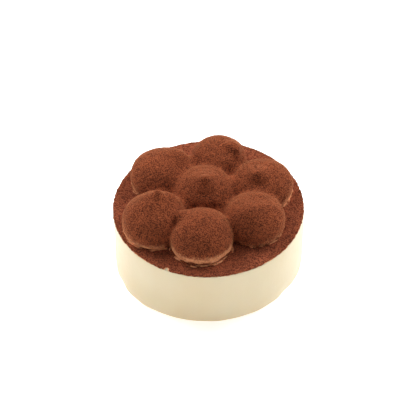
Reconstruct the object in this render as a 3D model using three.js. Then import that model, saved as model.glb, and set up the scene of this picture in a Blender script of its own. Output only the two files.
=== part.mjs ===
// A single portion of tiramisu: a straight-sided round of mascarpone mousse, a layer of
// cocoa dusted over its flat top, and seven dollops of mascarpone piped on the cocoa, one
// in the middle and six in a ring around it. Each dollop was piped straight down and the
// nozzle pulled away, so it has a narrow foot with a thin spread skirt, a bulging side and
// a soft tip that stands, leans or has fallen over. Two dollops that meet are both pressed
// flat. Millimetres, +Z up, origin at the centre of the base, front towards -Y.

import * as THREE from 'three';
import { mergeVertices } from 'three/addons/utils/BufferGeometryUtils.js';

// The round of mousse
const cakeDiameter = 80;
const cakeHeight = 28; // from the base to the top of the cocoa
const baseEdgeRadius = 0.9; // the lower edge has settled a little
const topEdgeRadius = 0.35;
const sideWobble = 0.12; // the side is this far from a true cylinder

// The layer of cocoa
const cocoaThickness = 0.75;
const cocoaInset = 0.15; // of the layer's edge from the side
const cocoaRaggedness = 0.16; // of the layer's edge
const cocoaHollows = 0.3; // depth of the shallow hollows outside the ring of dollops

// The dollops
const dollopRadius = 13;
const dollopHeight = 13; // to the crown, without the tip
const bulgeHeight = 4.5; // of the widest level
const footShare = 0.93; // of the dollop's radius
const skirtReach = 0.55; // of the spread skirt beyond the foot
const skirtHeight = 0.4;
const crownFullness = 2.1; // exponent of the crown's outline, 2 for an ellipse
const outOfRound = 0.02; // of the radius
const ringRadius = 23.8; // of the circle that the six outer dollops lie on
const ringStart = -97; // degrees, to the front dollop
const contactGap = 0.3; // between dollops that are pressed together

// Facets
const roundFacets = 80;
const dollopFacets = 40;
const bulgeSteps = 4;
const crownSteps = 13;

const mousseColour = 0xf0e2c0;
const cocoaColour = 0x7a4028;

// The ring runs anticlockwise from the front. turn and out move a dollop from its even
// place on the ring, in degrees and millimetres, wider and taller change its size. A tip
// stands on the crown at the place at, from the dollop's centre, rises by rise above the
// crown and flares out to the radius flare, and its end leans over by lean. Dollops that
// were piped later press into those piped earlier.
const ring = [
  {
    name: 'dollop_front', turn: -1, out: -1.8, wider: 0.1, taller: 1.3, piped: 6,
    tip: { at: [-6.6, 5.4], rise: 2.2, flare: 5, lean: [-2.5, 1.2] },
  },
  {
    name: 'dollop_front_right', turn: 4, out: -1.4, wider: -0.3, taller: 0, piped: 4,
    tip: { at: [-3.4, 0.3], rise: 1.8, flare: 6, lean: [-1.5, -1] },
  },
  {
    name: 'dollop_back_right', turn: -3, out: 0.4, wider: 0, taller: -1.2, piped: 3,
    tip: { at: [-3.4, -0.8], rise: 2, flare: 5.5, lean: [0.5, -0.8] },
  },
  {
    name: 'dollop_back', turn: -4, out: 0.7, wider: -1.1, taller: -0.8, piped: 2,
    tip: { at: [6.9, -0.5], rise: 2.3, flare: 5, lean: [1, -0.8] },
  },
  {
    name: 'dollop_back_left', turn: -1, out: 0.4, wider: 0.7, taller: -0.2, piped: 1,
    tip: { at: [5.6, 2.8], rise: 1.6, flare: 8, lean: [1, 0.4] },
  },
  {
    name: 'dollop_front_left', turn: 6, out: 1.5, wider: 0.5, taller: 1.3, piped: 5,
    tip: { at: [1.6, 3.9], rise: 3.7, flare: 6.5, lean: [0.5, 0.7] },
  },
];
const middle = {
  name: 'dollop_middle', x: -2.1, y: 3.7, wider: 0, taller: 0, piped: 7,
  tip: { at: [1.9, -0.4], rise: 2.5, flare: 6, lean: [0, -0.4] },
};

// A repeatable stream of numbers from 0 to 1
function randomFrom(seed) {
  let state = seed;
  return () => {
    state = (state * 1664525 + 1013904223) % 4294967296;
    return state / 4294967296;
  };
}

// A function of the angle that goes gently in and out, between about -1 and 1
function unevenness(seed, waveCounts) {
  const random = randomFrom(seed);
  const waves = waveCounts.map((count) => ({
    count,
    phase: random() * 2 * Math.PI,
    share: 0.5 + random(),
  }));
  const total = waves.reduce((sum, wave) => sum + wave.share, 0);
  return (angle) => {
    const height = (wave) => wave.share * Math.sin(wave.count * angle + wave.phase);
    return waves.reduce((sum, wave) => sum + height(wave), 0) / total;
  };
}

const smooth = (from, to, value) => THREE.MathUtils.smoothstep(value, from, to);

// Points along an oval about (x, z), between two angles in degrees
function ovalPoints(x, z, reach, rise, from, to, steps) {
  return Array.from({ length: steps + 1 }, (_, i) => {
    const angle = THREE.MathUtils.degToRad(from + ((to - from) * i) / steps);
    return new THREE.Vector2(x + reach * Math.cos(angle), z + rise * Math.sin(angle));
  });
}

// A closed body of revolution about Z, from an outline that starts and ends on the axis,
// with each of its points then moved by the function shift
function turned(outline, facets, shift) {
  const points = outline.map((p) => new THREE.Vector2(Math.abs(p.x) < 1e-6 ? 0 : p.x, p.y));
  const lathe = new THREE.LatheGeometry(points, facets).rotateX(Math.PI / 2);
  lathe.deleteAttribute('normal');
  lathe.deleteAttribute('uv');
  const geometry = mergeVertices(lathe, 1e-4);
  const position = geometry.getAttribute('position');
  const point = new THREE.Vector3();
  for (let i = 0; i < position.count; i += 1) {
    point.fromBufferAttribute(position, i);
    shift(point);
    position.setXYZ(i, point.x, point.y, point.z);
  }
  geometry.computeVertexNormals();
  return geometry;
}

function named(name, geometry, material) {
  const mesh = new THREE.Mesh(geometry, material);
  mesh.name = name;
  return mesh;
}

// The mousse round: nearly a true cylinder, with a settled lower edge
function mousseRound(material) {
  const radius = cakeDiameter / 2;
  const top = cakeHeight - cocoaThickness;
  const low = baseEdgeRadius;
  const high = topEdgeRadius;
  const outline = [
    new THREE.Vector2(0, 0),
    ...ovalPoints(radius - low, low, low, low, -90, 0, 3),
    new THREE.Vector2(radius, top / 2),
    ...ovalPoints(radius - high, top - high, high, high, 0, 90, 2),
    new THREE.Vector2(0, top),
  ];
  const wobble = unevenness(11, [2, 3, 5, 8]);
  const geometry = turned(outline, roundFacets, (point) => {
    const reach = Math.hypot(point.x, point.y);
    const atSide = smooth(0.8 * radius, radius, reach);
    const scale = 1 + (sideWobble * atSide * wobble(Math.atan2(point.y, point.x))) / radius;
    point.x *= scale;
    point.y *= scale;
  });
  return named('mousse_round', geometry, material);
}

// The cocoa layer: flat under the dollops, shallow hollows outside them, a ragged edge
function cocoaLayer(material) {
  const radius = cakeDiameter / 2 - cocoaInset;
  const outline = [
    new THREE.Vector2(0, -cocoaThickness),
    new THREE.Vector2(radius - cocoaInset, -cocoaThickness),
    new THREE.Vector2(radius, -cocoaThickness / 2),
    ...[0.99, 0.96, 0.92, 0.88, 0.8].map((share) => new THREE.Vector2(radius * share, 0)),
    new THREE.Vector2(0, 0),
  ];
  const ragged = unevenness(23, [7, 13, 19, 31, 38]);
  const hollow = unevenness(29, [3, 7, 11, 17]);
  const geometry = turned(outline, roundFacets, (point) => {
    const angle = Math.atan2(point.y, point.x);
    const reach = Math.hypot(point.x, point.y);
    const atEdge = smooth(0.93 * radius, radius, reach);
    const scale = 1 + (cocoaRaggedness * atEdge * ragged(angle)) / radius;
    point.x *= scale;
    point.y *= scale;
    if (point.z > -1e-6) {
      const outside = smooth(0.86 * radius, 0.95 * radius, reach);
      point.z -= cocoaHollows * outside * (0.5 + 0.5 * hollow(angle + reach / 4));
    }
  });
  return named('cocoa_layer', geometry, material);
}

// The places and sizes of all seven dollops
function placedDollops() {
  const outer = ring.map((dollop, i) => {
    const angle = THREE.MathUtils.degToRad(ringStart + (360 / ring.length) * i + dollop.turn);
    const distance = ringRadius + dollop.out;
    return { ...dollop, x: distance * Math.cos(angle), y: distance * Math.sin(angle) };
  });
  return [...outer, middle].map((dollop, i) => ({
    ...dollop,
    radius: dollopRadius + dollop.wider,
    height: dollopHeight + dollop.taller,
    seed: 101 + 7 * i,
  }));
}

// The upright planes where a dollop is pressed flat by the neighbours that it meets
function contactsOf(dollop, all) {
  return all.filter((other) => other !== dollop).map((other) => {
    const apart = Math.hypot(other.x - dollop.x, other.y - dollop.y);
    const overlap = dollop.radius + other.radius + 2 * skirtReach - apart;
    const share = dollop.piped > other.piped ? 0.35 : 0.65;
    return {
      angle: Math.atan2(other.y - dollop.y, other.x - dollop.x),
      distance: dollop.radius + skirtReach - share * overlap - contactGap / 2,
      meets: overlap > 0,
    };
  }).filter((contact) => contact.meets);
}

// Height of a dollop's crown over its widest level, at a distance from its centre
function crownHeight(dollop, reach) {
  const share = Math.min(1, reach / dollop.radius) ** crownFullness;
  return (dollop.height - bulgeHeight) * (1 - share) ** (1 / crownFullness);
}

// Moves the crown's points so that its pole stands under the tip, and raises the tip
function shapeCrown(dollop, point) {
  const [tipX, tipY] = dollop.tip.at;
  const reach = Math.hypot(point.x, point.y);
  const shift = 1 - Math.min(1, reach / dollop.radius);
  point.x += tipX * shift;
  point.y += tipY * shift;
  const fromTip = Math.hypot(point.x - tipX, point.y - tipY);
  const tip = Math.max(0, 1 - fromTip / dollop.tip.flare) ** 2;
  const crown = crownHeight(dollop, Math.hypot(point.x, point.y));
  point.z = bulgeHeight + crown + dollop.tip.rise * tip;
  point.x += dollop.tip.lean[0] * tip ** 1.5;
  point.y += dollop.tip.lean[1] * tip ** 1.5;
}

// A dollop: skirt, tucked foot, bulge, crown and tip, flat where a neighbour presses it
function dollopBody(dollop, contacts) {
  const foot = dollop.radius * footShare;
  const swell = bulgeHeight - skirtHeight * 2.2;
  const crown = ovalPoints(0, bulgeHeight, dollop.radius, 1, 0, 90, crownSteps).slice(1);
  const outline = [
    new THREE.Vector2(0, 0),
    new THREE.Vector2(foot + skirtReach, 0),
    new THREE.Vector2(foot + skirtReach, skirtHeight),
    new THREE.Vector2(foot, skirtHeight * 1.6),
    ...ovalPoints(foot, bulgeHeight, dollop.radius - foot, swell, -60, 0, bulgeSteps),
    ...crown,
  ];
  const round = unevenness(dollop.seed, [2, 3, 5]);
  const skirt = unevenness(dollop.seed + 1, [2, 3, 7]);
  return turned(outline, dollopFacets, (point) => {
    if (point.z > bulgeHeight) {
      shapeCrown(dollop, point);
    }
    const angle = Math.atan2(point.y, point.x);
    const low = 1 - smooth(skirtHeight, skirtHeight * 1.5, point.z);
    const spread = (0.5 * low * skirtReach * skirt(angle)) / dollop.radius;
    let scale = 1 + outOfRound * round(angle) + spread;
    for (const { angle: way, distance } of contacts) {
      const towards = scale * (point.x * Math.cos(way) + point.y * Math.sin(way));
      scale *= towards > distance ? distance / towards : 1;
    }
    point.x *= scale;
    point.y *= scale;
  });
}

const mousse = new THREE.MeshStandardMaterial({ color: mousseColour, roughness: 0.55, metalness: 0 });
const cocoa = new THREE.MeshStandardMaterial({ color: cocoaColour, roughness: 0.95, metalness: 0 });

const topping = new THREE.Group();
topping.position.z = cakeHeight;
topping.add(cocoaLayer(cocoa));
const dollops = placedDollops();
for (const dollop of dollops) {
  const mesh = named(dollop.name, dollopBody(dollop, contactsOf(dollop, dollops)), cocoa.clone());
  mesh.position.set(dollop.x, dollop.y, 0);
  topping.add(mesh);
}

const tiramisu = new THREE.Group();
tiramisu.name = 'tiramisu';
tiramisu.add(mousseRound(mousse), topping);

export default tiramisu;
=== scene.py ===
import math
import random

import bpy
import numpy as np
from mathutils import Matrix, Vector


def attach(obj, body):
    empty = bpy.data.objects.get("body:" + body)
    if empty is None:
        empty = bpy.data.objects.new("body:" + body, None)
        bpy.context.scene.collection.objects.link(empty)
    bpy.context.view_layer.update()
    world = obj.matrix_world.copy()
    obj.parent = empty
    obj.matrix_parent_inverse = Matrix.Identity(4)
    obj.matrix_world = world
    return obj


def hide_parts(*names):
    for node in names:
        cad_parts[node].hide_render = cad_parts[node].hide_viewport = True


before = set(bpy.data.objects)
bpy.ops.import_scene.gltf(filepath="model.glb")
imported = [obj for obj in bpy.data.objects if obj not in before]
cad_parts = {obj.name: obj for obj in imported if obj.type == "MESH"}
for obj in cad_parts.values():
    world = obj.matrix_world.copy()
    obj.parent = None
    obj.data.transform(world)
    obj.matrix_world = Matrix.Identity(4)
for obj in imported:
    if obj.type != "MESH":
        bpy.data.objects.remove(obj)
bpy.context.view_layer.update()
mm = 0.001
micron = 0.001 * mm
random.seed(7)

# camera and lights

photoView = {
    "lens": 126.2,  # and sensor, mm
    "sensor": 36,
    "distance": 615.6,  # from the middle of the cake's top, mm
    "elevation": 45.13,
    "roll": 1.0,
    "topHeight": 28.1,
    "asideRight": 0.67,  # the camera's place, aside from the middle of the top, mm
    "asideDown": 1.99,
}
studio = {
    "worldLight": 0.10,
    "aimHeight": 0.02,  # what the softboxes point at, m
    "floorSize": 6,
    "floorColour": (0.92, 0.92, 0.91),
    "floorRoughness": 0.8,
    "floorGlow": 0.61,
    "glowColour": (1, 0.97, 0.92),
    "softboxes": [
        # name, place (m), size (m), power (W), colour
        ("keyBackLeft", (-0.42, 0.36, 0.46), 0.42, 4.2, (1, 1, 1)),
        ("keyBackRight", (0.46, 0.36, 0.46), 0.42, 4.4, (1, 1, 1)),
        ("overhead", (0.0, 0.20, 0.72), 0.50, 0.7, (1, 1, 1)),
        ("sideLeft", (-0.60, -0.12, 0.26), 0.34, 0.8, (0.84, 0.95, 1)),
        ("sideRight", (0.60, -0.12, 0.26), 0.34, 0.8, (0.84, 0.95, 1)),
        ("frontLow", (0, -0.75, 0.10), 0.50, 0.5, (1, 0.97, 0.90)),
    ],
}


def makeCamera(v):
    elevation, roll = math.radians(v["elevation"]), math.radians(v["roll"])
    ahead = Vector((0, math.cos(elevation), -math.sin(elevation)))
    above = Vector((0, math.sin(elevation), math.cos(elevation)))
    right = Vector((1, 0, 0)) * math.cos(roll) - above * math.sin(roll)
    up = Vector((1, 0, 0)) * math.sin(roll) + above * math.cos(roll)
    place = Vector((0, 0, v["topHeight"])) - ahead * v["distance"]
    place += right * v["asideRight"] - up * v["asideDown"]
    bpy.ops.object.select_all(action="DESELECT")
    bpy.ops.object.camera_add()
    camera = bpy.context.object
    camera.name = "photoCamera"
    camera.data.lens = v["lens"]
    camera.data.sensor_width = v["sensor"]
    turn = Matrix((right, up, -ahead)).transposed().to_4x4()
    camera.matrix_world = Matrix.Translation(place * mm) @ turn
    bpy.context.scene.camera = camera


def makeLights(s):
    world = bpy.data.worlds.new("paleRoom")
    world.use_nodes = True
    world.node_tree.nodes["Background"].inputs["Color"].default_value = (1, 1, 1, 1)
    world.node_tree.nodes["Background"].inputs["Strength"].default_value = s["worldLight"]
    bpy.context.scene.world = world
    for name, place, size, power, colour in s["softboxes"]:
        bpy.ops.object.light_add(type="AREA", location=place)
        light = bpy.context.object
        light.name = name
        light.data.size = size
        light.data.energy = power
        light.data.color = colour
        aim = Vector((0, 0, s["aimHeight"])) - Vector(place)
        light.rotation_euler = aim.to_track_quat("-Z", "Y").to_euler()
    bpy.context.scene.view_settings.view_transform = "Standard"


makeCamera(photoView)
makeLights(studio)
print("camera and lights ready")

# small helpers


def onlySelect(*pieces):
    bpy.ops.object.select_all(action="DESELECT")
    for piece in pieces:
        piece.select_set(True)
    bpy.context.view_layer.objects.active = pieces[0]


def pointsOf(piece):
    flat = np.empty(len(piece.data.vertices) * 3, dtype=np.float32)
    piece.data.vertices.foreach_get("co", flat)
    return flat.reshape(-1, 3).astype(float)


def normalsOf(piece):
    flat = np.empty(len(piece.data.vertices) * 3, dtype=np.float32)
    piece.data.vertex_normals.foreach_get("vector", flat)
    return flat.reshape(-1, 3).astype(float)


def movePoints(piece, points):
    piece.data.vertices.foreach_set("co", points.astype(np.float32).ravel())
    piece.data.update()


def editWith(piece, chosen):
    # edit mode with the chosen vertices selected
    onlySelect(piece)
    bpy.ops.object.mode_set(mode="EDIT")
    bpy.ops.mesh.select_mode(type="VERT")
    bpy.ops.mesh.select_all(action="DESELECT")
    bpy.ops.object.mode_set(mode="OBJECT")
    piece.data.vertices.foreach_set("select", np.asarray(chosen, dtype=bool))
    bpy.ops.object.mode_set(mode="EDIT")


def leaveEdit():
    bpy.ops.object.mode_set(mode="OBJECT")


def smoothStep(low, high, value):
    t = np.clip((value - low) / (high - low), 0, 1)
    return t * t * (3 - 2 * t)


def softNoise(points, size, seed):
    # gentle noise between about -1 and 1, with lumps of the given size: waves from all sides
    waves, usualHeight, limit = 14, 4.2, 1.2
    rng = np.random.default_rng(seed)
    total = np.zeros(len(points))
    for _ in range(waves):
        way = rng.normal(size=3)
        way *= rng.uniform(0.6, 1.4) * math.pi / size / np.linalg.norm(way)
        total += np.sin(points @ way + rng.uniform(0, 2 * math.pi))
    return np.clip(total / usualHeight, -limit, limit)


def addedNoise(points, parts, order=0):
    # the sum of several noises, each given by its size in mm, its height and its seed
    return sum(softNoise(points, size * mm, seed + order) * height for size, height, seed in parts)


def weighPoints(piece, name, weights):
    # a vertex group with the weights in even steps
    steps = 24
    group = piece.vertex_groups.new(name=name)
    levels = np.round(np.clip(weights, 0, 1) * steps).astype(int)
    for level in range(1, steps + 1):
        chosen = np.flatnonzero(levels == level).tolist()
        if chosen:
            group.add(chosen, level / steps, "REPLACE")


def keepOnPoints(piece, name, values):
    layer = piece.data.attributes.new(name, "FLOAT", "POINT")
    layer.data.foreach_set("value", values.astype(np.float32))


def roughen(piece, group, name, kind, lump, **settings):
    # lumps of a procedural texture, by their size and height in mm, pushed along the normals
    size, height = lump
    texture = bpy.data.textures.new(name, kind)
    texture.noise_scale = size * mm
    for key, value in settings.items():
        setattr(texture, key, value)
    onlySelect(piece)
    lumps = piece.modifiers.new(name, "DISPLACE")
    lumps.texture = texture
    lumps.texture_coords = "LOCAL"
    lumps.strength = height * mm
    lumps.mid_level = 0.5
    lumps.vertex_group = group
    bpy.ops.object.modifier_apply(modifier=name)


def remesh(piece, size):
    onlySelect(piece)
    skin = piece.modifiers.new("skin", "REMESH")
    skin.mode = "VOXEL"
    skin.voxel_size = size * mm
    skin.use_smooth_shade = True
    bpy.ops.object.modifier_apply(modifier="skin")


def cutAt(piece, planes):
    # cuts off what lies beyond each plane of a plain form, and closes the cut
    onlySelect(piece)
    bpy.ops.object.mode_set(mode="EDIT")
    for place, outward in planes:
        bpy.ops.mesh.select_all(action="SELECT")
        bpy.ops.mesh.bisect(
            plane_co=place, plane_no=outward, use_fill=True, clear_outer=True, threshold=micron,
        )
    leaveEdit()


def dressPiece(piece, name, material, slot, *nodes):
    piece.name = name
    piece.data.name = name
    piece.data.materials.clear()
    piece.data.materials.append(material)
    onlySelect(piece)
    bpy.ops.object.shade_smooth()
    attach(piece, "root")
    if nodes:
        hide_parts(*nodes)


# shader groups


def addNode(tree, kind, place, values=None, **settings):
    node = tree.nodes.new(kind)
    node.location = place
    for key, value in settings.items():
        setattr(node, key, value)
    for key, value in (values or {}).items():
        node.inputs[key].default_value = value
    return node


def startGroup(name, inputs, outputs):
    group = bpy.data.node_groups.new(name, "ShaderNodeTree")
    for label, kind, value in inputs:
        socket = group.interface.new_socket(label, in_out="INPUT", socket_type=kind)
        if value is not None:
            socket.default_value = value
    for label, kind in outputs:
        group.interface.new_socket(label, in_out="OUTPUT", socket_type=kind)
    first = addNode(group, "NodeGroupInput", (-1200, 0))
    last = addNode(group, "NodeGroupOutput", (900, 0))
    return group, first, last


def feed(tree, socket, value):
    # a link from another node, or a plain value
    if isinstance(value, bpy.types.NodeSocket):
        tree.links.new(value, socket)
    else:
        socket.default_value = value


def mixColours(tree, place, factor, low, high, blend="MIX"):
    # of the mix node's many sockets, these are the factor, the two colours and the colour out
    node = addNode(tree, "ShaderNodeMix", place, data_type="RGBA", blend_type=blend)
    for index, value in ((0, factor), (6, low), (7, high)):
        feed(tree, node.inputs[index], value)
    return node.outputs[2]


def mathNode(tree, place, operation, *values):
    node = addNode(tree, "ShaderNodeMath", place, operation=operation)
    for socket, value in zip(node.inputs, values):
        feed(tree, socket, value)
    return node.outputs[0]


def rangeNode(tree, place, value, fromLow, fromHigh, toLow=0.0, toHigh=1.0):
    node = addNode(tree, "ShaderNodeMapRange", place, interpolation_type="SMOOTHSTEP")
    tree.links.new(value, node.inputs["Value"])
    node.inputs["From Min"].default_value = fromLow
    node.inputs["From Max"].default_value = fromHigh
    node.inputs["To Min"].default_value = toLow
    node.inputs["To Max"].default_value = toHigh
    return node.outputs["Result"]


def noiseNode(tree, place, vector, scale, detail=3.0, roughness=0.55):
    node = addNode(tree, "ShaderNodeTexNoise", place)
    tree.links.new(vector, node.inputs["Vector"])
    node.inputs["Scale"].default_value = scale
    node.inputs["Detail"].default_value = detail
    node.inputs["Roughness"].default_value = roughness
    return node.outputs["Fac"]


cocoaTexture = {
    # noises by their scale per metre, detail and roughness
    "grains": (2450, 1.0, 0.5),
    "fine": (4100, 1.0, 0.5),
    "drifts": (330, 3.0, 0.6),
    "broad": (90, 2.0, 0.5),
    "clods": 1500,
    "shares": (0.68, 0.20, 0.12),  # of grains, fine and drifts in the tone
    "toneRange": (0.425, 0.575),
    "broadRange": (0.3, 0.7, 0.94, 1.06),
    "clodRange": (0.42, 0.05),
    "clodHeight": 0.35,
}


def makeCocoaPowder(t):
    # sifted cocoa: speckles of dark and light grains, drifts, and tiny clods
    group, first, last = startGroup(
        "cocoaPowder",
        [
            ("Vector", "NodeSocketVector", None),
            ("Dark", "NodeSocketColor", None),
            ("Light", "NodeSocketColor", None),
        ],
        [("Color", "NodeSocketColor"), ("Height", "NodeSocketFloat")],
    )
    vector = first.outputs["Vector"]
    grains = noiseNode(group, (-900, 400), vector, *t["grains"])
    fine = noiseNode(group, (-900, 150), vector, *t["fine"])
    drifts = noiseNode(group, (-900, -100), vector, *t["drifts"])
    broad = noiseNode(group, (-900, -350), vector, *t["broad"])
    clods = addNode(group, "ShaderNodeTexVoronoi", (-900, -600), {"Scale": t["clods"]})
    group.links.new(vector, clods.inputs["Vector"])
    clodTops = rangeNode(group, (-650, -600), clods.outputs["Distance"], *t["clodRange"])
    grainShare, fineShare, driftShare = t["shares"]
    tone = mathNode(group, (-620, 400), "MULTIPLY", grains, grainShare)
    tone = mathNode(group, (-440, 300), "MULTIPLY_ADD", fine, fineShare, tone)
    tone = mathNode(group, (-260, 200), "MULTIPLY_ADD", drifts, driftShare, tone)
    shade = rangeNode(group, (-60, 200), tone, *t["toneRange"])
    colour = mixColours(group, (200, 200), shade, first.outputs["Dark"], first.outputs["Light"])
    wide = rangeNode(group, (-60, -300), broad, *t["broadRange"])
    bright = mixColours(group, (430, 200), 1.0, colour, wide, "MULTIPLY")
    height = mathNode(group, (200, -200), "MULTIPLY_ADD", clodTops, t["clodHeight"], grains)
    group.links.new(bright, last.inputs["Color"])
    group.links.new(height, last.inputs["Height"])
    return group


creamTexture = {
    "pale": (0.83, 0.70, 0.475),
    "deep": (0.80, 0.645, 0.405),
    # noises by their scale per metre, detail and roughness
    "clouds": (38, 2.0, 0.4),
    "marks": (230, 2.0, 0.5),
    "smears": (620, 3.0, 0.6),
    "bubbles": 420,
    "markStretch": (1, 1, 0.18),
    "shares": (0.85, 0.15),  # of clouds and marks in the tone
    "toneRange": (0.25, 0.75),
    "bubbleRange": (0.14, 0.05),
    "markHeight": 0.6,
    "bubbleHeight": -0.7,
    "roughnessRange": (0.3, 0.7, 0.42, 0.56),
}


def makeCreamSurface(t):
    # whipped mascarpone: soft ivory clouds, faint upright marks and small air bubbles
    group, first, last = startGroup(
        "creamSurface",
        [
            ("Vector", "NodeSocketVector", None),
            ("Pale", "NodeSocketColor", (*t["pale"], 1)),
            ("Deep", "NodeSocketColor", (*t["deep"], 1)),
        ],
        [("Color", "NodeSocketColor"), ("Height", "NodeSocketFloat"), ("Roughness", "NodeSocketFloat")],
    )
    vector = first.outputs["Vector"]
    stretched = addNode(group, "ShaderNodeMapping", (-950, -250), {"Scale": t["markStretch"]})
    group.links.new(vector, stretched.inputs["Vector"])
    clouds = noiseNode(group, (-700, 250), vector, *t["clouds"])
    marks = noiseNode(group, (-700, -50), stretched.outputs["Vector"], *t["marks"])
    smears = noiseNode(group, (-700, -300), vector, *t["smears"])
    bubbles = addNode(group, "ShaderNodeTexVoronoi", (-700, -550), {"Scale": t["bubbles"]})
    group.links.new(vector, bubbles.inputs["Vector"])
    pits = rangeNode(group, (-450, -550), bubbles.outputs["Distance"], *t["bubbleRange"])
    cloudShare, markShare = t["shares"]
    tone = mathNode(group, (-450, 200), "MULTIPLY", clouds, cloudShare)
    tone = mathNode(group, (-250, 150), "MULTIPLY_ADD", marks, markShare, tone)
    shade = rangeNode(group, (-60, 150), tone, *t["toneRange"])
    colour = mixColours(group, (200, 150), shade, first.outputs["Deep"], first.outputs["Pale"])
    rise = mathNode(group, (-250, -250), "MULTIPLY_ADD", marks, t["markHeight"], smears)
    rise = mathNode(group, (-60, -300), "MULTIPLY_ADD", pits, t["bubbleHeight"], rise)
    rough = rangeNode(group, (200, -450), smears, *t["roughnessRange"])
    group.links.new(colour, last.inputs["Color"])
    group.links.new(rise, last.inputs["Height"])
    group.links.new(rough, last.inputs["Roughness"])
    return group


def useGroup(tree, group, place, vector, **colours):
    node = addNode(tree, "ShaderNodeGroup", place, node_tree=group)
    tree.links.new(vector, node.inputs["Vector"])
    for name, value in colours.items():
        node.inputs[name].default_value = (*value, 1)
    return node


def startMaterial(name):
    material = bpy.data.materials.new(name)
    material.use_nodes = True
    tree = material.node_tree
    shader = tree.nodes["Principled BSDF"]
    shader.location = (700, 0)
    tree.nodes["Material Output"].location = (1000, 0)
    where = addNode(tree, "ShaderNodeTexCoord", (-1100, 0)).outputs["Object"]
    return material, tree, shader, where


def addBump(tree, height, bumpSize, strength, shader):
    # a bump of the given height in metres, and how much of it shows
    bump = addNode(tree, "ShaderNodeBump", (300, -300), {"Strength": strength, "Distance": bumpSize})
    tree.links.new(height, bump.inputs["Height"])
    tree.links.new(bump.outputs["Normal"], shader.inputs["Normal"])


def setShader(shader, values):
    for name, value in values.items():
        shader.inputs[name].default_value = value


# finishes, by the names of the shader's own sockets

cocoaFinish = {
    "Roughness": 0.95,
    "Specular IOR Level": 0.08,
    "Sheen Weight": 0.75,
    "Sheen Roughness": 0.30,
    "Sheen Tint": (1.0, 0.41, 0.18, 1),
}
creamFinish = {
    "Specular IOR Level": 0.5,
    "Sheen Weight": 0.30,
    "Sheen Roughness": 0.40,
    "Sheen Tint": (0.85, 0.94, 1, 1),
    "Subsurface Weight": 0.22,
    "Subsurface Scale": 0.0035,
    "Subsurface Radius": (1.0, 0.62, 0.30),
}
cocoaBump = (0.00030, 0.8)  # height in metres, and how much of it shows
creamBump = (0.00012, 0.35)
dusting = {
    "thinCocoa": (0.93, 0.385, 0.185),  # cream seen through a little cocoa
    "grain": (1500, 3.0, 0.65),
    "grainShare": 0.7,
    "thinRange": (0.34, 0.70),
    "fullRange": (0.72, 1.18),
    "bareRoughness": 0.55,
    "addedRoughness": 0.4,
}
# dark and light grains
layerShades = (0.104, 0.026, 0.013), (0.356, 0.092, 0.041)
dollopShades = (0.076, 0.018, 0.008), (0.336, 0.083, 0.032)
clodShades = (0.070, 0.018, 0.009), (0.240, 0.062, 0.028)

cocoaPowder = makeCocoaPowder(cocoaTexture)
creamSurface = makeCreamSurface(creamTexture)


def makeCocoa(name, dark, light):
    # the matt powder alone, with its parts for a material that adds to it
    material, tree, shader, where = startMaterial(name)
    powder = useGroup(tree, cocoaPowder, (-500, 0), where, Dark=dark, Light=light)
    tree.links.new(powder.outputs["Color"], shader.inputs["Base Color"])
    addBump(tree, powder.outputs["Height"], *cocoaBump, shader)
    setShader(shader, cocoaFinish)
    return material, tree, shader, where, powder


def makeDustedCream(name, dark, light):
    # cocoa over cream: the piece's own dust attribute says how much cocoa lies there
    d = dusting
    material, tree, shader, where, powder = makeCocoa(name, dark, light)
    cream = useGroup(tree, creamSurface, (-500, 400), where)
    dust = addNode(tree, "ShaderNodeAttribute", (-900, 700), attribute_name="dust").outputs["Fac"]
    grain = noiseNode(tree, (-900, 500), where, *d["grain"])
    cover = mathNode(tree, (-650, 700), "MULTIPLY_ADD", grain, d["grainShare"], dust)
    thin = rangeNode(tree, (-400, 800), cover, *d["thinRange"])
    full = rangeNode(tree, (-400, 600), cover, *d["fullRange"])
    colour = mixColours(tree, (0, 500), thin, cream.outputs["Color"], (*d["thinCocoa"], 1))
    colour = mixColours(tree, (250, 400), full, colour, powder.outputs["Color"])
    tree.links.new(colour, shader.inputs["Base Color"])
    rough = mathNode(tree, (250, 100), "MULTIPLY_ADD", full, d["addedRoughness"], d["bareRoughness"])
    tree.links.new(rough, shader.inputs["Roughness"])
    return material


def makeCream(name):
    material, tree, shader, where = startMaterial(name)
    cream = useGroup(tree, creamSurface, (-500, 0), where)
    tree.links.new(cream.outputs["Color"], shader.inputs["Base Color"])
    tree.links.new(cream.outputs["Roughness"], shader.inputs["Roughness"])
    addBump(tree, cream.outputs["Height"], *creamBump, shader)
    setShader(shader, creamFinish)
    return material


mousseCream = makeCream("mousseCream")
layerCocoa = makeDustedCream("layerCocoa", *layerShades)
dustedCream = makeDustedCream("dustedCream", *dollopShades)
clodCocoa = makeCocoa("clodCocoa", *clodShades)[0]
print("materials ready")

# the round of mousse

mousse = {
    "radius": 39.95,
    "height": 27.3,
    "around": 480,
    "levels": 62,
    "baseEdge": 0.9,
    "topEdge": 0.3,
    "sideStart": ((1.2, 0.2), (0.0, 0.8)),  # where the side's unevenness fades in, from rim and base
    "wobble": (16, 0.30),  # size and height of the unevenness
    "ripple": (3.2, 0.05),
    # the lower edge: angle and width in degrees, how far inward, and from and up to what height
    "pressed": ((-38, 4.5, 0.55, 0.5, 6), (-138, 30, -1.2, 0, 12)),
    "pressedFrom": 0.9,  # of the radius
    "edgeNoise": (5, 0.18, 3),  # size, height and seed
    "edgeHeight": 3.5,
}


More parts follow.
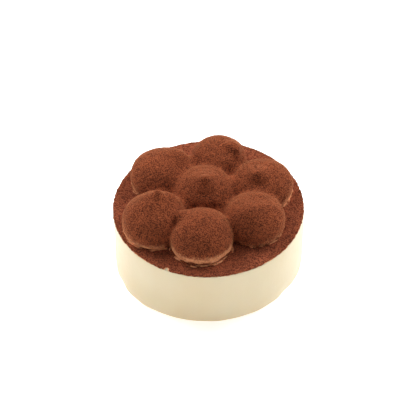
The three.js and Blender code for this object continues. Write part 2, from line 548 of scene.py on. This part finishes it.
def divideSide(piece, m):
    # the upright edges of the side get their levels
    points = pointsOf(piece)
    near = 0.9  # of a bevel's size
    onSide = np.hypot(points[:, 0], points[:, 1]) > m["radius"] * mm - 10 * micron
    aboveBase = points[:, 2] > near * m["baseEdge"] * mm
    belowTop = points[:, 2] < (m["height"] - near * m["topEdge"]) * mm
    editWith(piece, onSide & aboveBase & belowTop)
    bpy.ops.mesh.select_mode(type="EDGE")
    leaveEdit()
    for edge in piece.data.edges:
        if edge.select:
            a, b = (piece.data.vertices[i].co for i in edge.vertices)
            edge.select = abs(a.z - b.z) > m["height"] * mm / 2
    for part in (*piece.data.vertices, *piece.data.polygons):
        part.select = False
    bpy.ops.object.mode_set(mode="EDIT")
    bpy.ops.mesh.subdivide(number_cuts=m["levels"])
    leaveEdit()


def pressBase(piece, m):
    # the lower edge is dented a little where the ring was lifted off, and the front left has sunk
    points = pointsOf(piece)
    reach = np.hypot(points[:, 0], points[:, 1])
    height = points[:, 2] / mm
    angle = np.degrees(np.arctan2(points[:, 1], points[:, 0]))
    inward = addedNoise(points, [m["edgeNoise"]]) * smoothStep(m["edgeHeight"], 0, height)
    for where, width, amount, full, none in m["pressed"]:
        aside = (angle - where + 180) % 360 - 180
        inward += amount * np.exp(-((aside / width) ** 2)) * smoothStep(none, full, height)
    outer = smoothStep(m["pressedFrom"] * m["radius"] * mm, m["radius"] * mm, reach)
    points[:, :2] *= (1 - outer * inward / m["radius"])[:, None]
    movePoints(piece, points)


def makeMousse(m):
    height = m["height"] * mm
    bpy.ops.object.select_all(action="DESELECT")
    bpy.ops.mesh.primitive_cylinder_add(
        vertices=m["around"], radius=m["radius"] * mm, depth=height, location=(0, 0, height / 2),
    )
    piece = bpy.context.object
    bpy.ops.object.transform_apply(location=True)
    for edge, level, segments in ((m["baseEdge"], 0, 4), (m["topEdge"], height, 3)):
        editWith(piece, abs(pointsOf(piece)[:, 2] - level) < micron)
        bpy.ops.mesh.bevel(offset=edge * mm, segments=segments, affect="EDGES")
        leaveEdit()
    divideSide(piece, m)
    points = pointsOf(piece)
    fromRim = m["radius"] - np.hypot(points[:, 0], points[:, 1]) / mm
    rimFade, baseFade = m["sideStart"]
    weighPoints(piece, "side", smoothStep(*rimFade, fromRim) * smoothStep(*baseFade, points[:, 2] / mm))
    roughen(piece, "side", "sideWobble", "CLOUDS", m["wobble"], noise_depth=1)
    roughen(piece, "side", "sideRipple", "CLOUDS", m["ripple"], noise_depth=2)
    pressBase(piece, m)
    dressPiece(piece, "mousse.round", mousseCream, "mousse", "mousse_round")
    return piece


mousseRound = makeMousse(mousse)
print("mousse ready", len(mousseRound.data.polygons))

# the dollops

dollopRing = {
    "radius": 23.8,
    "start": -97,
    "step": 60,
    "foot": 28.0,  # height of the cocoa's top
    "bulge": 4.5,  # the widest level above the foot
    "footShare": 0.96,  # how wide the foot is, of the widest level
    "wallReach": 5,  # a neighbour further off than this makes no wall
}
# turn and out: degrees and mm from an even place in the ring
# order: the seed of its skirt's unevenness
# lip: height and half width of the belt where cocoa is thin, in mm, and how much is missing
# pulls: place on the crown from the dollop's centre, move, reach in mm, and how it falls off
dollops = [
    {
        "name": "front", "node": "dollop_front", "turn": -1, "out": -1.8,
        "radius": 13.1, "height": 14.3, "order": 6, "lip": (1.8, 1.0, 0.72),
        "pulls": [
            ((-8.0, 6.0), (-1.8, 0.3, 1.4), 4.0, "LINEAR"),
            ((-10.0, 1.2), (0, 0, -1.4), 4.4, "SMOOTH"),
        ],
    },
    {
        "name": "frontRight", "node": "dollop_front_right", "turn": 4, "out": -1.4,
        "radius": 12.7, "height": 13.0, "order": 4, "lip": (0.9, 1.0, 0.40),
        "pulls": [
            ((-2.6, -3.4), (-0.3, -1.3, 2.0), 8.6, "SMOOTH"),
            ((7.0, 4.0), (0, 0, -0.7), 6.0, "SMOOTH"),
        ],
    },
    {
        "name": "backRight", "node": "dollop_back_right", "turn": -3, "out": 0.4,
        "radius": 13.0, "height": 11.8, "order": 3, "lip": (0.7, 0.5, 0.60),
        "pulls": [
            ((-2.0, -1.4), (-0.2, -1.5, 2.4), 6.0, "LINEAR"),
            ((-0.6, -6.6), (0, 0, -0.5), 4.6, "SMOOTH"),
        ],
    },
    {
        "name": "back", "node": "dollop_back", "turn": -4, "out": 0.7,
        "radius": 11.9, "height": 12.2, "order": 2, "lip": (0.9, 0.8, 0.35),
        "pulls": [
            ((6.4, 0.8), (1.0, -1.0, 2.2), 4.8, "LINEAR"),
            ((7.6, -3.0), (0.6, -0.4, 1.3), 3.6, "LINEAR"),
            ((2.6, -4.0), (0, 0, -0.6), 4.6, "SMOOTH"),
        ],
    },
    {
        "name": "backLeft", "node": "dollop_back_left", "turn": -1, "out": 0.4,
        "radius": 13.7, "height": 12.8, "order": 1, "lip": (0.6, 0.5, 0.48),
        "pulls": [((6.5, 4.5), (0.6, 0.3, 1.8), 9.0, "SMOOTH")],
    },
    {
        "name": "frontLeft", "node": "dollop_front_left", "turn": 6, "out": 1.5,
        "radius": 13.5, "height": 14.3, "order": 5, "lip": (0.3, 1.3, 0.58),
        "pulls": [
            ((1.2, 2.8), (0, 0.2, 2.2), 9.0, "LINEAR"),
            ((2.0, 3.6), (0, 0, 1.9), 4.0, "LINEAR"),
            ((8.0, 5.6), (0, 0, 1.4), 6.0, "SMOOTH"),
        ],
    },
    {
        "name": "middle", "node": "dollop_middle", "at": (-2.1, 3.7),
        "radius": 13.0, "height": 13.0, "order": 7, "lip": None,
        "pulls": [
            ((0.8, -1.4), (0, -1.6, 2.7), 7.4, "LINEAR"),
            ((0.8, -3.0), (0, -0.3, 0.9), 3.2, "LINEAR"),
        ],
    },
]
mound = {
    "voxel": 0.5,
    "lastVoxel": 0.215,
    "bed": (21.0, 7.5),  # radius and height of the cream that fills in between them
    "fillet": 1.3,  # how round the valleys are
    "crisp": ("front", 0.1),  # this dollop keeps its creases, but for a little softening
    "valleyReach": 3.0,
    "valleyStart": (1.5, 4.0),  # softened from the one to the other height above the foot
    "valleyPasses": 8,
    "tuck": 3,  # pulls leave what is lower than this above the foot
    "footing": (0.02, 0.6),  # the foot stays flat up to here
    # size and height of the unevenness
    "lumps": (6.5, 0.55),
    "dimples": (2.2, 0.16),
    "grain": (0.62, 0.20),
    "clods": (1.1, -0.10),
}


def placeDollops():
    turn = dollopRing["start"]
    for dollop in dollops:
        if "at" not in dollop:
            angle = math.radians(turn + dollop["turn"])
            distance = dollopRing["radius"] + dollop["out"]
            dollop["at"] = (distance * math.cos(angle), distance * math.sin(angle))
            turn += dollopRing["step"]


def footCut():
    # the plane of the foot, below which nothing is kept
    return (0, 0, dollopRing["foot"] * mm), (0, 0, -1)


def wallsOf(dollop):
    # planes between this dollop and its neighbours, where their crowns meet, in metres
    walls = []
    for other in dollops:
        if other is dollop:
            continue
        way = Vector(other["at"]) - Vector(dollop["at"])
        reach = (way.length_squared + dollop["radius"] ** 2 - other["radius"] ** 2) / (2 * way.length)
        way = way.normalized()
        place = Vector(dollop["at"]) + way * reach
        if reach < dollop["radius"] + dollopRing["wallReach"]:
            walls.append(((place.x * mm, place.y * mm, dollopRing["foot"] * mm), (way.x, way.y, 0)))
    return walls


def pipeDollop(dollop):
    # a ball, flattened into a crown over a tucked foot
    r, bulge = dollop["radius"] * mm, dollopRing["bulge"] * mm
    crown = dollop["height"] * mm - bulge
    under = bulge / math.sqrt(1 - dollopRing["footShare"] ** 2)
    bpy.ops.object.select_all(action="DESELECT")
    bpy.ops.mesh.primitive_uv_sphere_add(segments=120, ring_count=80, radius=1)
    piece = bpy.context.object
    bpy.ops.object.mode_set(mode="EDIT")
    bpy.ops.transform.resize(value=(r, r, crown), center_override=(0, 0, 0))
    leaveEdit()
    editWith(piece, pointsOf(piece)[:, 2] < -0.1 * micron)
    bpy.ops.transform.resize(value=(1, 1, under / crown), center_override=(0, 0, 0))
    leaveEdit()
    x, y = dollop["at"]
    editWith(piece, np.ones(len(piece.data.vertices), dtype=bool))
    bpy.ops.transform.translate(value=(x * mm, y * mm, dollopRing["foot"] * mm + bulge))
    leaveEdit()
    cutAt(piece, [footCut()])
    return piece


def makeBed(radius, height):
    # the dollops run together round the middle one, so no gap is left there
    x, y = dollops[-1]["at"]
    bpy.ops.object.select_all(action="DESELECT")
    bpy.ops.mesh.primitive_uv_sphere_add(segments=96, ring_count=48, radius=radius * mm)
    piece = bpy.context.object
    bpy.ops.object.mode_set(mode="EDIT")
    bpy.ops.transform.resize(value=(1, 1, height / radius), center_override=(0, 0, 0))
    bpy.ops.transform.translate(value=(x * mm, y * mm, dollopRing["foot"] * mm))
    leaveEdit()
    cutAt(piece, [footCut()])
    return piece


def fromDollops(points):
    # how far each point lies from the edge of each dollop, in mm, with a row for each dollop
    away = []
    for dollop in dollops:
        x, y = dollop["at"]
        away.append(np.hypot(points[:, 0] / mm - x, points[:, 1] / mm - y) - dollop["radius"])
    return np.array(away)


def aboveFoot(points):
    return points[:, 2] / mm - dollopRing["foot"]


def swell(piece, amount):
    onlySelect(piece)
    swelling = piece.modifiers.new("swelling", "DISPLACE")
    swelling.strength = amount * mm
    swelling.mid_level = 0
    bpy.ops.object.modifier_apply(modifier="swelling")


def fuse(forms, fillet):
    # one skin over all the forms, with a round fillet in the creases between them
    onlySelect(*forms)
    bpy.ops.object.join()
    piece = bpy.context.object
    remesh(piece, mound["voxel"])
    if fillet:
        for amount in (fillet, -fillet):
            swell(piece, amount)
            remesh(piece, mound["voxel"])
    return piece


def softenValleys(piece):
    # where two dollops are equally near, but hardly in the creases of the crisp one
    points = pointsOf(piece)
    away = fromDollops(points)
    nearest, second = np.argsort(away, axis=0)[:2]
    columns = np.arange(len(points))
    apart = away[second, columns] - away[nearest, columns]
    name, left = mound["crisp"]
    crisp = [d["name"] for d in dollops].index(name)
    middle = len(dollops) - 1
    creased = ((nearest == crisp) & (second != middle)) | ((second == crisp) & (nearest != middle))
    weight = np.clip(1 - apart / mound["valleyReach"], 0, 1) * np.where(creased, left, 1)
    weight *= smoothStep(*mound["valleyStart"], aboveFoot(points))
    weighPoints(piece, "valleys", weight)
    onlySelect(piece)
    soften = piece.modifiers.new("soften", "SMOOTH")
    soften.factor = 0.5
    soften.iterations = mound["valleyPasses"]
    soften.vertex_group = "valleys"
    bpy.ops.object.modifier_apply(modifier="soften")
    piece.vertex_groups.clear()


def pullTips(piece):
    # each tip, ridge or hollow is one soft pull or press on the crown
    for dollop in dollops:
        for place, move, reach, falloff in dollop["pulls"]:
            target = (np.array(place) + dollop["at"]) * mm
            points = pointsOf(piece)
            away = np.hypot(points[:, 0] - target[0], points[:, 1] - target[1])
            # the foot lies under the same place, so it is put out of reach
            away += points[:, 2] < (dollopRing["foot"] + mound["tuck"]) * mm
            chosen = np.zeros(len(points), dtype=bool)
            chosen[away.argmin()] = True
            editWith(piece, chosen)
            bpy.ops.transform.translate(
                value=[part * mm for part in move], use_proportional_edit=True,
                proportional_edit_falloff=falloff, proportional_size=reach * mm,
            )
            leaveEdit()


# where cocoa is thin at the feet, in mm, with noises by their size, height and seed
bareBelt = {
    "sway": ((6, 0.5, 21), (1.6, 0.3, 22)),
    "patches": (3.2, 0.45, 23),
    "share": 0.78,
    "fade": 0.75,  # how much is missing at the belt's upper edge
    "fadeHeight": 5.6,
    "outward": (-0.1, 0.5),  # from which slope outward
    "fromValley": (0.4, 3.2),
    "noLip": (3, 1, 0),  # for a dollop where nothing is missing
}


def dustAmount(piece):
    # cocoa settles from above, so it is thin low on the outer sides of the dollops
    b = bareBelt
    points, normals = pointsOf(piece), normalsOf(piece)
    height = aboveFoot(points)
    away = fromDollops(points)
    nearest = away.argmin(axis=0)
    ranked = np.sort(away, axis=0)
    level, width, missing = np.array([d["lip"] or b["noLip"] for d in dollops])[nearest].T
    reach = np.hypot(points[:, 0], points[:, 1]).clip(micron)
    outward = (points[:, 0] * normals[:, 0] + points[:, 1] * normals[:, 1]) / reach
    outer = smoothStep(*b["outward"], outward) * smoothStep(*b["fromValley"], ranked[1] - ranked[0])
    level = level + addedNoise(points, b["sway"])
    patches = b["share"] + addedNoise(points, [b["patches"]])
    belt = np.exp(-(((height - level) / width) ** 2)) * patches
    fade = b["fade"] * smoothStep(level + b["fadeHeight"], level, height) * (height > level)
    return 1 - outer * missing * np.clip(np.maximum(belt, fade), 0, 1)


def makeMound():
    forms = {dollop["name"]: pipeDollop(dollop) for dollop in dollops}
    crisp = forms.pop(mound["crisp"][0])
    group = fuse([*forms.values(), makeBed(*mound["bed"])], mound["fillet"])
    piece = fuse([group, crisp], 0)
    softenValleys(piece)
    pullTips(piece)
    remesh(piece, mound["lastVoxel"])
    footing = smoothStep(*mound["footing"], aboveFoot(pointsOf(piece)))
    weighPoints(piece, "free", footing)
    roughen(piece, "free", "lumps", "CLOUDS", mound["lumps"], noise_depth=1)
    roughen(piece, "free", "dimples", "CLOUDS", mound["dimples"], noise_depth=1)
    dust = dustAmount(piece)
    keepOnPoints(piece, "dust", dust)
    weighPoints(piece, "dusted", np.minimum(dust, footing))
    roughen(piece, "dusted", "grain", "CLOUDS", mound["grain"], noise_depth=2)
    roughen(piece, "dusted", "clods", "VORONOI", mound["clods"])
    piece.vertex_groups.clear()
    return piece


skirt = {
    "around": 220,
    "reach": 0.95,  # past the foot, where all cocoa is missing from the lip
    "thickness": 0.42,
    "edge": 0.16,
    "level": 0.19,  # its middle above the foot
    "waves": ((3.4, 0.42, 0), (1.1, 0.16, 50)),  # size, height and seed
    "dust": (0.64, 0.36),  # usual and least
    "dustNoise": (1.9, 0.34, 60),
}


def makeSkirt(dollop):
    # the thin ring of cream that spread at the foot
    radius = dollop["radius"] * dollopRing["footShare"] + skirt["reach"] * dollop["lip"][2]
    bpy.ops.object.select_all(action="DESELECT")
    bpy.ops.mesh.primitive_cylinder_add(
        vertices=skirt["around"], radius=radius * mm, depth=skirt["thickness"] * mm,
    )
    piece = bpy.context.object
    editWith(piece, pointsOf(piece)[:, 2] > 0)
    bpy.ops.mesh.bevel(offset=skirt["edge"] * mm, segments=3, affect="EDGES")
    leaveEdit()
    points = pointsOf(piece)
    angle = np.arctan2(points[:, 1], points[:, 0])
    around = np.stack([np.cos(angle), np.sin(angle), 0 * angle], axis=1) * radius * mm
    spread = 1 + addedNoise(around, skirt["waves"], dollop["order"]) / radius
    points[:, :2] *= spread[:, None]
    points += np.array([*dollop["at"], dollopRing["foot"] + skirt["level"]]) * mm
    movePoints(piece, points)
    usual, least = skirt["dust"]
    dust = usual + addedNoise(points, [skirt["dustNoise"]], dollop["order"])
    keepOnPoints(piece, "dust", np.clip(dust, least, 1))
    cutAt(piece, wallsOf(dollop))
    return piece


def cutShare(piece, dollop):
    # keeps this dollop's share of the mound, inside a block with flat sides
    walls = wallsOf(dollop) + [footCut()]
    bpy.ops.object.select_all(action="DESELECT")
    bpy.ops.mesh.primitive_cube_add(size=100 * mm)
    block = bpy.context.object
    cutAt(block, walls)
    onlySelect(piece)
    share = piece.modifiers.new("share", "BOOLEAN")
    share.operation = "INTERSECT"
    share.solver = "MANIFOLD"
    share.object = block
    bpy.ops.object.modifier_apply(modifier="share")
    bpy.data.objects.remove(block)
    # the cut faces get full dust and a sharp edge, so that the crown stays smooth up to it
    points = pointsOf(piece)
    onWalls = [abs((points - place) @ np.array(outward)) < 2 * micron for place, outward in walls]
    for i in np.flatnonzero(np.any(onWalls, axis=0)):
        piece.data.attributes["dust"].data[i].value = 1
    for onWall in onWalls:
        editWith(piece, onWall)
        bpy.ops.mesh.select_mode(type="FACE")
        bpy.ops.mesh.region_to_loop()
        bpy.ops.mesh.mark_sharp()
        leaveEdit()


def makeDollops():
    whole = makeMound()
    print("mound ready", len(whole.data.polygons))
    pieces = []
    for dollop in dollops:
        piece = whole.copy()
        piece.data = whole.data.copy()
        bpy.context.collection.objects.link(piece)
        cutShare(piece, dollop)
        if dollop["lip"]:
            onlySelect(piece, makeSkirt(dollop))
            bpy.ops.object.join()
        dressPiece(piece, "dollop." + dollop["name"], dustedCream, "dusted_dollop", dollop["node"])
        pieces.append(piece)
        print("dollop", dollop["name"], len(piece.data.polygons))
    bpy.data.objects.remove(whole)
    return pieces


placeDollops()
dollopPieces = makeDollops()

# the layer of cocoa

layer = {
    "radius": 39.9,
    "top": 28.0,
    "thickness": 0.72,
    "edge": 0.18,
    "around": 720,
    "rings": 46,
    "ringWidth": 0.40,
    "openFrom": (-1.6, 0.2),  # how far from the dollops its unevenness fades in
    "openLevel": (-0.6, -0.3),  # and from which level, below its top
    # size and height of the unevenness
    "hollows": (5.5, 0.20),
    "drifts": (1.5, 0.16),
    "grain": (0.6, 0.18),
    "clods": (1.0, -0.12),
    # the rim: how wide it is, its crumbling and its thin spots, by size, height and seed
    "rimWidth": 1.2,
    "crumble": ((1.3, 0.14, 5), (0.5, 0.10, 6)),
    "thinSpots": ((2.2, 1, 8), (0.7, 0.6, 9)),
    "thinUsual": 0.25,
    "thinShare": 0.5,
    "thinLevel": (0.05, -0.55),
    "thinTop": 0.3,  # of the thin spots on the side, what the top gets
    # a bare spot on the rim: its reach along it, how far the top sinks there, and its way inward
    "nick": {
        "angle": -115.8, "reach": 1.7, "depth": 0.55, "topDepth": 0.5, "inward": 0.022, "bare": 1.2,
    },
}


def crumbleRim(piece, s):
    # the rim crumbles in and out, with thin spots, and one spot of it is missing
    points = pointsOf(piece)
    reach = np.hypot(points[:, 0], points[:, 1])
    atRim = smoothStep((s["radius"] - s["rimWidth"]) * mm, s["radius"] * mm, reach)
    crumble = addedNoise(points, s["crumble"])
    shrink = 1 + atRim * crumble * mm / reach.clip(micron)
    points[:, :2] *= shrink[:, None]
    nick = s["nick"]
    angle = math.radians(nick["angle"])
    spot = np.array([math.cos(angle), math.sin(angle)]) * s["radius"] * mm
    close = smoothStep(nick["reach"] * mm, 0, np.hypot(points[:, 0] - spot[0], points[:, 1] - spot[1]))
    points[:, :2] *= (1 - close * nick["inward"])[:, None]
    onTop = points[:, 2] > (s["top"] - nick["topDepth"]) * mm
    points[:, 2] -= close * nick["depth"] * mm * onTop
    movePoints(piece, points)
    thin = s["thinShare"] * np.clip(s["thinUsual"] + addedNoise(points, s["thinSpots"]), 0, 1)
    low = smoothStep(*s["thinLevel"], points[:, 2] / mm - s["top"])
    missing = atRim * (s["thinTop"] + (1 - s["thinTop"]) * low) * thin + nick["bare"] * close
    keepOnPoints(piece, "dust", 1 - np.clip(missing, 0, 1))


def makeLayer(s):
    thickness, top = s["thickness"] * mm, s["top"] * mm
    bpy.ops.object.select_all(action="DESELECT")
    bpy.ops.mesh.primitive_cylinder_add(
        vertices=s["around"], radius=s["radius"] * mm, depth=thickness,
        location=(0, 0, top - thickness / 2),
    )
    piece = bpy.context.object
    bpy.ops.object.transform_apply(location=True)
    editWith(piece, pointsOf(piece)[:, 2] > top - micron)
    bpy.ops.mesh.bevel(offset=s["edge"] * mm, segments=3, affect="EDGES")
    leaveEdit()
    editWith(piece, pointsOf(piece)[:, 2] > top - micron)
    bpy.ops.mesh.select_mode(type="FACE")
    for _ in range(s["rings"]):
        bpy.ops.mesh.inset(thickness=s["ringWidth"] * mm)
    leaveEdit()
    points = pointsOf(piece)
    away = fromDollops(points).min(axis=0)
    bare = smoothStep(*s["openFrom"], away) * smoothStep(*s["openLevel"], points[:, 2] / mm - s["top"])
    weighPoints(piece, "bare", bare)
    roughen(piece, "bare", "hollows", "CLOUDS", s["hollows"], noise_depth=1)
    roughen(piece, "bare", "drifts", "CLOUDS", s["drifts"], noise_depth=2)
    roughen(piece, "bare", "layerGrain", "CLOUDS", s["grain"], noise_depth=2)
    roughen(piece, "bare", "layerClods", "VORONOI", s["clods"])
    crumbleRim(piece, s)
    dressPiece(piece, "cocoa.layer", layerCocoa, "cocoa", "cocoa_layer")
    return piece


cocoaLayer = makeLayer(layer)
print("cocoa layer ready", len(cocoaLayer.data.polygons))

# loose clods of cocoa

clods = {
    "onDollops": 420,
    "onLayer": 600,
    "small": 0.09,
    "large": 0.20,
    "largeRarity": 2.5,
    "rare": 0.36,
    "rareShare": 0.03,
    "lumps": (1.3, 0.35, 31),  # on a ball of radius 1, by size, height and seed
    "flatness": 0.7,
    "lift": 0.25,  # of its size, how far its middle is above the surface
    # where they lie: slope, lowest level, how far out, and how far from the dollops
    "steepest": 0.15,
    "lowest": 27.6,
    "outermost": 39.3,
    "fromDollops": -0.6,
}


def placeClods(c):
    # random points of the upper surfaces, with a size for each
    spots = []
    for pieces, count in ((dollopPieces, c["onDollops"]), ([cocoaLayer], c["onLayer"])):
        for piece in pieces:
            points, normals = pointsOf(piece), normalsOf(piece)
            reach = np.hypot(points[:, 0], points[:, 1]) / mm
            seen = (normals[:, 2] > c["steepest"]) & (points[:, 2] > c["lowest"] * mm)
            seen &= reach < c["outermost"]
            if piece is cocoaLayer:
                seen &= fromDollops(points).min(axis=0) > c["fromDollops"]
            chosen = np.flatnonzero(seen)
            for _ in range(count // len(pieces)):
                i = chosen[random.randrange(len(chosen))]
                size = c["small"] + (c["large"] - c["small"]) * random.random() ** c["largeRarity"]
                if random.random() < c["rareShare"]:
                    size = c["rare"]
                spots.append((Vector(points[i]) + Vector(normals[i]) * size * c["lift"] * mm, size))
    return spots


def makeClods(c):
    bpy.ops.object.select_all(action="DESELECT")
    bpy.ops.mesh.primitive_ico_sphere_add(subdivisions=2, radius=1)
    clod = bpy.context.object
    shape = pointsOf(clod)
    lumpSize, lumpHeight, seed = c["lumps"]
    shape *= (1 + lumpHeight * softNoise(shape, lumpSize, seed))[:, None]
    movePoints(clod, shape)
    copies = []
    for place, size in placeClods(c):
        copy = clod.copy()
        copy.data = clod.data.copy()
        angle = random.uniform(0, 6.28)
        axis = Vector((random.uniform(-1, 1), random.uniform(-1, 1), 1))
        width = random.uniform(c["flatness"], 1.0)
        turn = Matrix.Rotation(angle, 4, axis)
        scale = Matrix.Diagonal((size * mm, size * mm * width, size * mm * c["flatness"], 1))
        copy.data.transform(Matrix.Translation(place) @ turn @ scale)
        bpy.context.collection.objects.link(copy)
        copies.append(copy)
    bpy.data.objects.remove(clod)
    onlySelect(*copies)
    bpy.ops.object.join()
    piece = bpy.context.object
    dressPiece(piece, "cocoa.clods", clodCocoa, "cocoa")
    return piece


cocoaClods = makeClods(clods)
print("clods ready", len(cocoaClods.data.polygons))

# floor


def makeFloor(s):
    bpy.ops.object.select_all(action="DESELECT")
    bpy.ops.mesh.primitive_plane_add(size=s["floorSize"])
    floor = bpy.context.object
    floor.name = "paleFloor"
    material, _, shader, _ = startMaterial("palePaper")
    setShader(shader, {
        "Base Color": (*s["floorColour"], 1),
        "Roughness": s["floorRoughness"],
        "Emission Color": (*s["glowColour"], 1),
        "Emission Strength": s["floorGlow"],
    })
    floor.data.materials.append(material)


makeFloor(studio)
print("floor ready")
